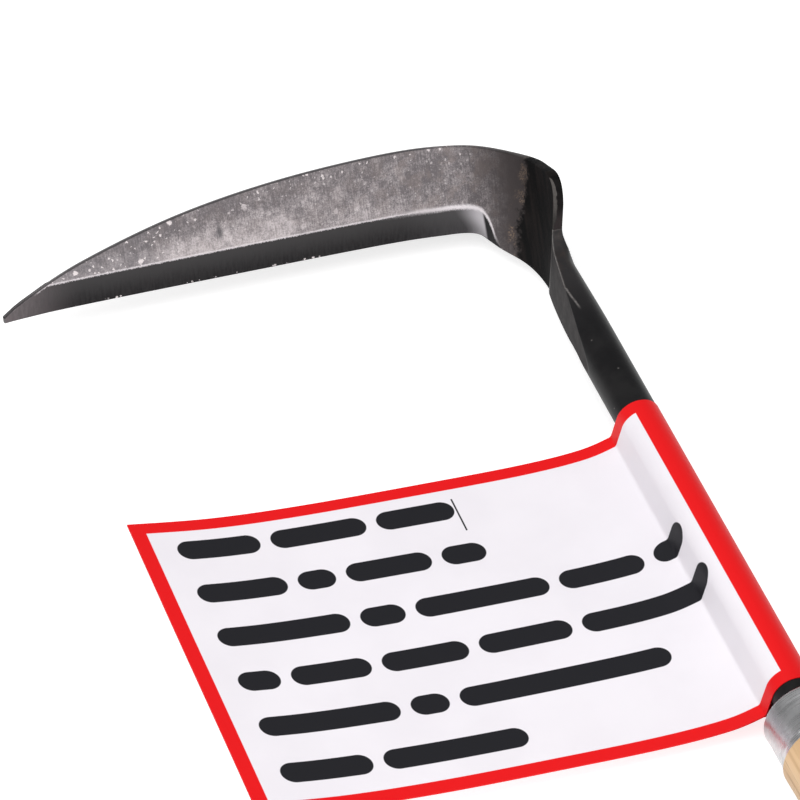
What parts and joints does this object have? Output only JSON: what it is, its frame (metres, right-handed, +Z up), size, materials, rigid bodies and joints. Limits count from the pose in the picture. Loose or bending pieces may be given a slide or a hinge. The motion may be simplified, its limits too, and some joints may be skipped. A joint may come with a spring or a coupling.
{
  "type": "hand sickle",
  "caption": "Twist-neck hand sickle: bent single-bevel steel blade welded to a black round shank in a turned wooden handle, with a folded card label that swings round the shank.",
  "frame": {"origin": "middle of the whole object's box, at the height it rests on", "axes": "+Y along the shank from the handle to the head, the blade points to -X, +Z up"},
  "size_m": [0.1718, 0.377, 0.0421],
  "materials": {
    "blade_steel": "ground grey steel, mottled, with black forge scale at the neck and a dark satin bevel",
    "black_steel": "satin black paint over steel",
    "ferrule_steel": "turned steel, satin",
    "handle_wood": "turned oak, lightly oiled",
    "pin_steel": "bright steel, ground flush",
    "label_card": "coated card, white field with a red border and plain dark bars"
  },
  "bodies": {
    "tool": {"blade": "blade_steel", "weld_seam": "black_steel", "shank": "black_steel", "ferrule": "ferrule_steel", "handle": "handle_wood", "handle_pin": "pin_steel"},
    "label": {"label_card": "label_card"}
  },
  "joints": [
    {"name": "label_swing", "type": "hinge", "parent": "tool", "child": "label", "pos_m": [0.07173, 0.016, 0.01418], "axis": [0, 1, 0], "continuous": true}
  ]
}
